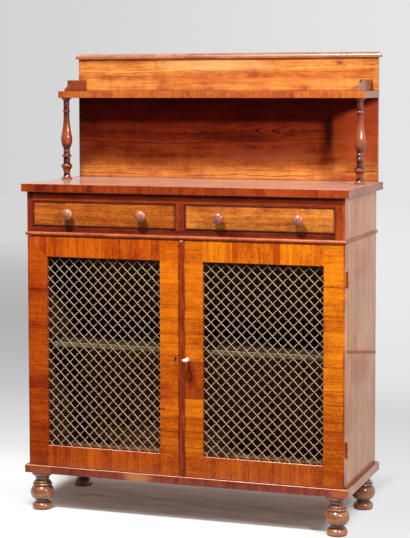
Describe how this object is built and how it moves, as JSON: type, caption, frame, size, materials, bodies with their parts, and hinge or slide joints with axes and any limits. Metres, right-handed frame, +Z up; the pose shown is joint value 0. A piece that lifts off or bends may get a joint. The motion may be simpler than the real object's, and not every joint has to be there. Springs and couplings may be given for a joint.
{
  "type": "chiffonier",
  "caption": "Low rosewood cupboard with brass grille doors under frieze drawers, on turned feet, with a raised back carrying a shelf on turned columns.",
  "frame": {"origin": "on the floor, at the centre of the whole object's width and depth", "axes": "+X to the right seen from the front, +Y to the back, +Z up"},
  "size_m": [0.9668, 0.424, 1.326],
  "materials": {
    "case_rosewood": "French polished, gloss",
    "door_rosewood": "French polished, gloss",
    "drawer_rosewood": "French polished, gloss",
    "dark_rosewood": "French polished, gloss",
    "turned_rosewood": "French polished, gloss",
    "secondary_wood": "stained, matt",
    "drawer_lining": "bare, matt",
    "brass_wire": "tarnished, satin",
    "brass_fittings": "satin",
    "iron_lock": "satin"
  },
  "bodies": {
    "case": {"case_back": "secondary_wood", "case_hinges_left": "brass_fittings", "case_hinges_right": "brass_fittings", "column_left": "turned_rosewood", "column_right": "turned_rosewood", "cupboard_bottom": "secondary_wood", "drawer_guides": "secondary_wood", "dust_board": "secondary_wood", "foot_back_left": "turned_rosewood", "foot_back_right": "turned_rosewood", "foot_front_left": "turned_rosewood", "foot_front_right": "turned_rosewood", "frieze_bead": "dark_rosewood", "frieze_bottom_rail": "case_rosewood", "frieze_divider": "case_rosewood", "frieze_stile_left": "case_rosewood", "frieze_stile_right": "case_rosewood", "frieze_top_rail": "case_rosewood", "gallery_left": "case_rosewood", "gallery_right": "case_rosewood", "inner_shelf": "secondary_wood", "main_top": "case_rosewood", "plinth": "case_rosewood", "shelf_bearers": "secondary_wood", "side_left": "case_rosewood", "side_right": "case_rosewood", "upper_back_panel": "case_rosewood", "upper_moulding": "case_rosewood", "upper_shelf": "case_rosewood"},
    "door_left": {"door_hinges_left": "brass_fittings", "door_left_bottom_rail": "door_rosewood", "door_left_grille": "brass_wire", "door_left_grille_beads": "secondary_wood", "door_left_hinge_stile": "door_rosewood", "door_left_meeting_stile": "door_rosewood", "door_left_top_rail": "door_rosewood"},
    "door_right": {"door_hinges_right": "brass_fittings", "door_right_bottom_rail": "door_rosewood", "door_right_grille": "brass_wire", "door_right_grille_beads": "secondary_wood", "door_right_hinge_stile": "door_rosewood", "door_right_meeting_stile": "door_rosewood", "door_right_top_rail": "door_rosewood", "lock_case": "iron_lock", "meeting_slip": "dark_rosewood"},
    "drawer_left": {"drawer_left_box": "drawer_lining", "drawer_left_cock_bead": "dark_rosewood", "drawer_left_front": "drawer_rosewood", "drawer_left_knob_a": "turned_rosewood", "drawer_left_knob_b": "turned_rosewood"},
    "drawer_right": {"drawer_right_box": "drawer_lining", "drawer_right_cock_bead": "dark_rosewood", "drawer_right_front": "drawer_rosewood", "drawer_right_knob_a": "turned_rosewood", "drawer_right_knob_b": "turned_rosewood"},
    "key": {"key": "brass_fittings"},
    "lock_bolt": {"lock_bolt": "brass_fittings"},
    "flush_bolt_lower": {"flush_bolt_lower": "brass_fittings"},
    "flush_bolt_upper": {"flush_bolt_upper": "brass_fittings"}
  },
  "joints": [
    {"name": "door_left_hinge", "type": "hinge", "parent": "case", "child": "door_left", "pos_m": [-0.4734, -0.1537, 0.47], "axis": [0, 0, -1], "range_deg": [0, 170]},
    {"name": "door_right_hinge", "type": "hinge", "parent": "case", "child": "door_right", "pos_m": [0.4734, -0.1537, 0.47], "axis": [0, 0, 1], "range_deg": [0, 170]},
    {"name": "drawer_left_slide", "type": "slide", "parent": "case", "child": "drawer_left", "axis": [0, -1, 0], "range_m": [0, 0.25]},
    {"name": "drawer_right_slide", "type": "slide", "parent": "case", "child": "drawer_right", "axis": [0, -1, 0], "range_m": [0, 0.25]},
    {"name": "key_turn", "type": "hinge", "parent": "door_right", "child": "key", "pos_m": [0.0215, -0.165, 0.468], "axis": [0, -1, 0], "range_deg": [0, 360]},
    {"name": "lock_bolt_slide", "type": "slide", "parent": "door_right", "child": "lock_bolt", "axis": [-1, 0, 0], "range_m": [0, 0.007]},
    {"name": "flush_bolt_upper_slide", "type": "slide", "parent": "door_left", "child": "flush_bolt_upper", "axis": [0, 0, 1], "range_m": [0, 0.01]},
    {"name": "flush_bolt_lower_slide", "type": "slide", "parent": "door_left", "child": "flush_bolt_lower", "axis": [0, 0, -1], "range_m": [0, 0.01]}
  ],
  "couplings": [
    {"joint": "lock_bolt_slide", "follows": "key_turn", "m_per_rad": 0.001114}
  ]
}
